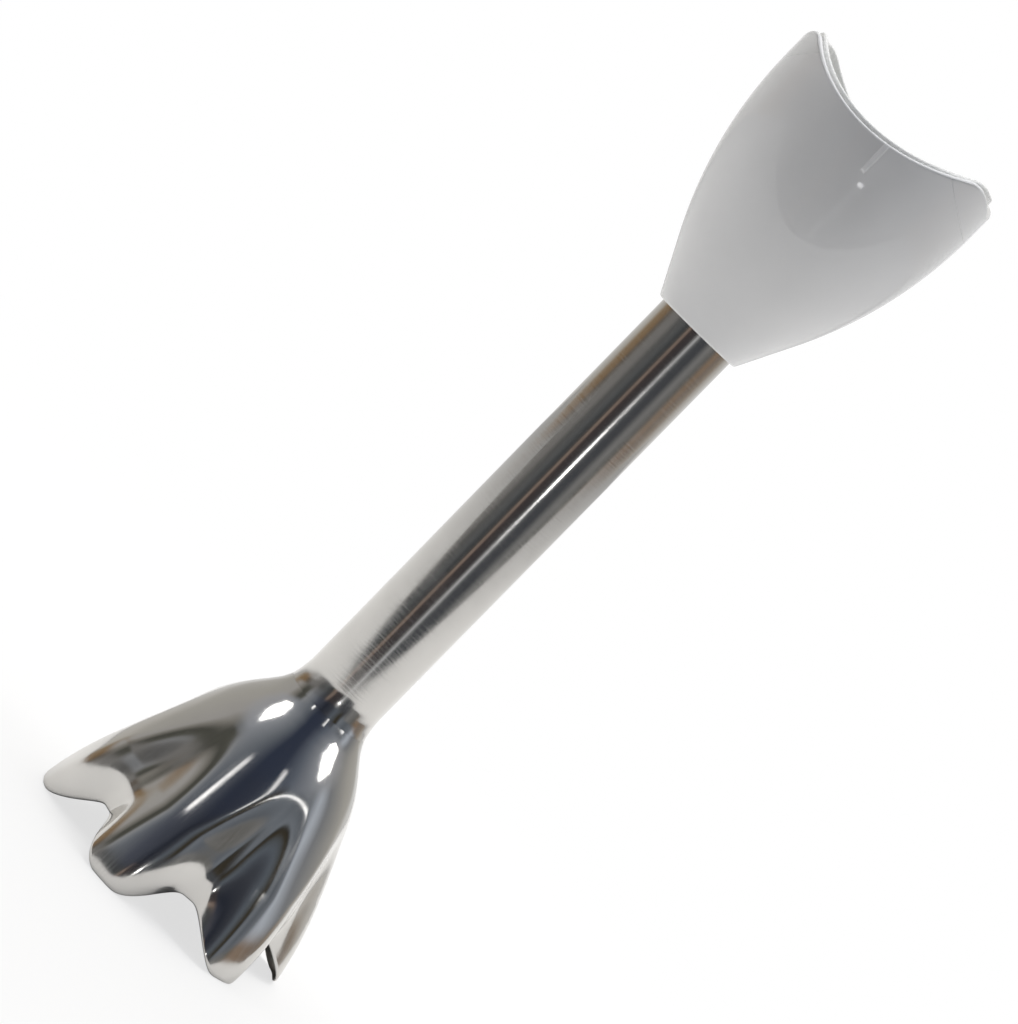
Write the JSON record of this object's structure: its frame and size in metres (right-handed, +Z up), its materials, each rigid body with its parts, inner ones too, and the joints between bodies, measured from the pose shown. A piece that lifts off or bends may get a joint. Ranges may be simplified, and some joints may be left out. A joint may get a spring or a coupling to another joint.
{
  "type": "immersion blender foot",
  "caption": "Detachable blending foot: a flared white collar with a saddle-cut rim, a slim steel tube, a fluted steel bell guard, and a spinning shaft that carries a bent cross blade.",
  "frame": {"origin": "on the tube's axis, in the plane of the tips of the bell's lobes, on which the foot stands", "axes": "+Z up the tube towards the collar that plugs onto the motor unit; -Y towards the front dip of the collar's saddle, which has the raised index line; +X and -X towards the two ears"},
  "size_m": [0.0632, 0.0658, 0.2225],
  "materials": {
    "mirror_steel": "mirror polished stainless sheet",
    "tube_steel": "polished stainless tube with fine marks round it",
    "shell_plastic": "glossy white",
    "liner_plastic": "satin white",
    "bearing_plastic": "natural acetal",
    "washer_plastic": "slippery white washer plastic",
    "star_plastic": "glass-filled black nylon",
    "bronze": "sintered bronze",
    "seal_rubber": "black nitrile rubber",
    "shaft_steel": "ground stainless bar",
    "blade_steel": "stamped and ground stainless sheet",
    "screw_steel": "plain zinc-plated screw",
    "clip_steel": "dark spring steel"
  },
  "bodies": {
    "foot": {"bell_guard": "mirror_steel", "neck_ferrule": "mirror_steel", "tube": "tube_steel", "hub_housing": "bearing_plastic", "lower_bush": "bronze", "shaft_seal": "seal_rubber", "seal_cap": "shaft_steel", "housing_o_ring": "seal_rubber", "shaft_guide": "bearing_plastic", "bearing_holder": "bearing_plastic", "upper_bush": "bronze", "clamp_ring": "bearing_plastic", "clamp_screws": "screw_steel", "collar_o_ring": "seal_rubber", "coupling_liner": "liner_plastic", "coupling_shell": "shell_plastic", "upper_washer": "washer_plastic", "lower_washer": "washer_plastic"},
    "rotor": {"drive_shaft": "shaft_steel", "drive_star": "star_plastic", "star_pin": "shaft_steel", "upper_clip": "clip_steel", "lower_clip": "clip_steel", "blade_boss": "shaft_steel", "blade": "blade_steel", "blade_nut": "blade_steel"}
  },
  "joints": [
    {"name": "shaft_spin", "type": "hinge", "parent": "foot", "child": "rotor", "pos_m": [0, 0, 0.1], "axis": [0, 0, 1], "continuous": true}
  ]
}
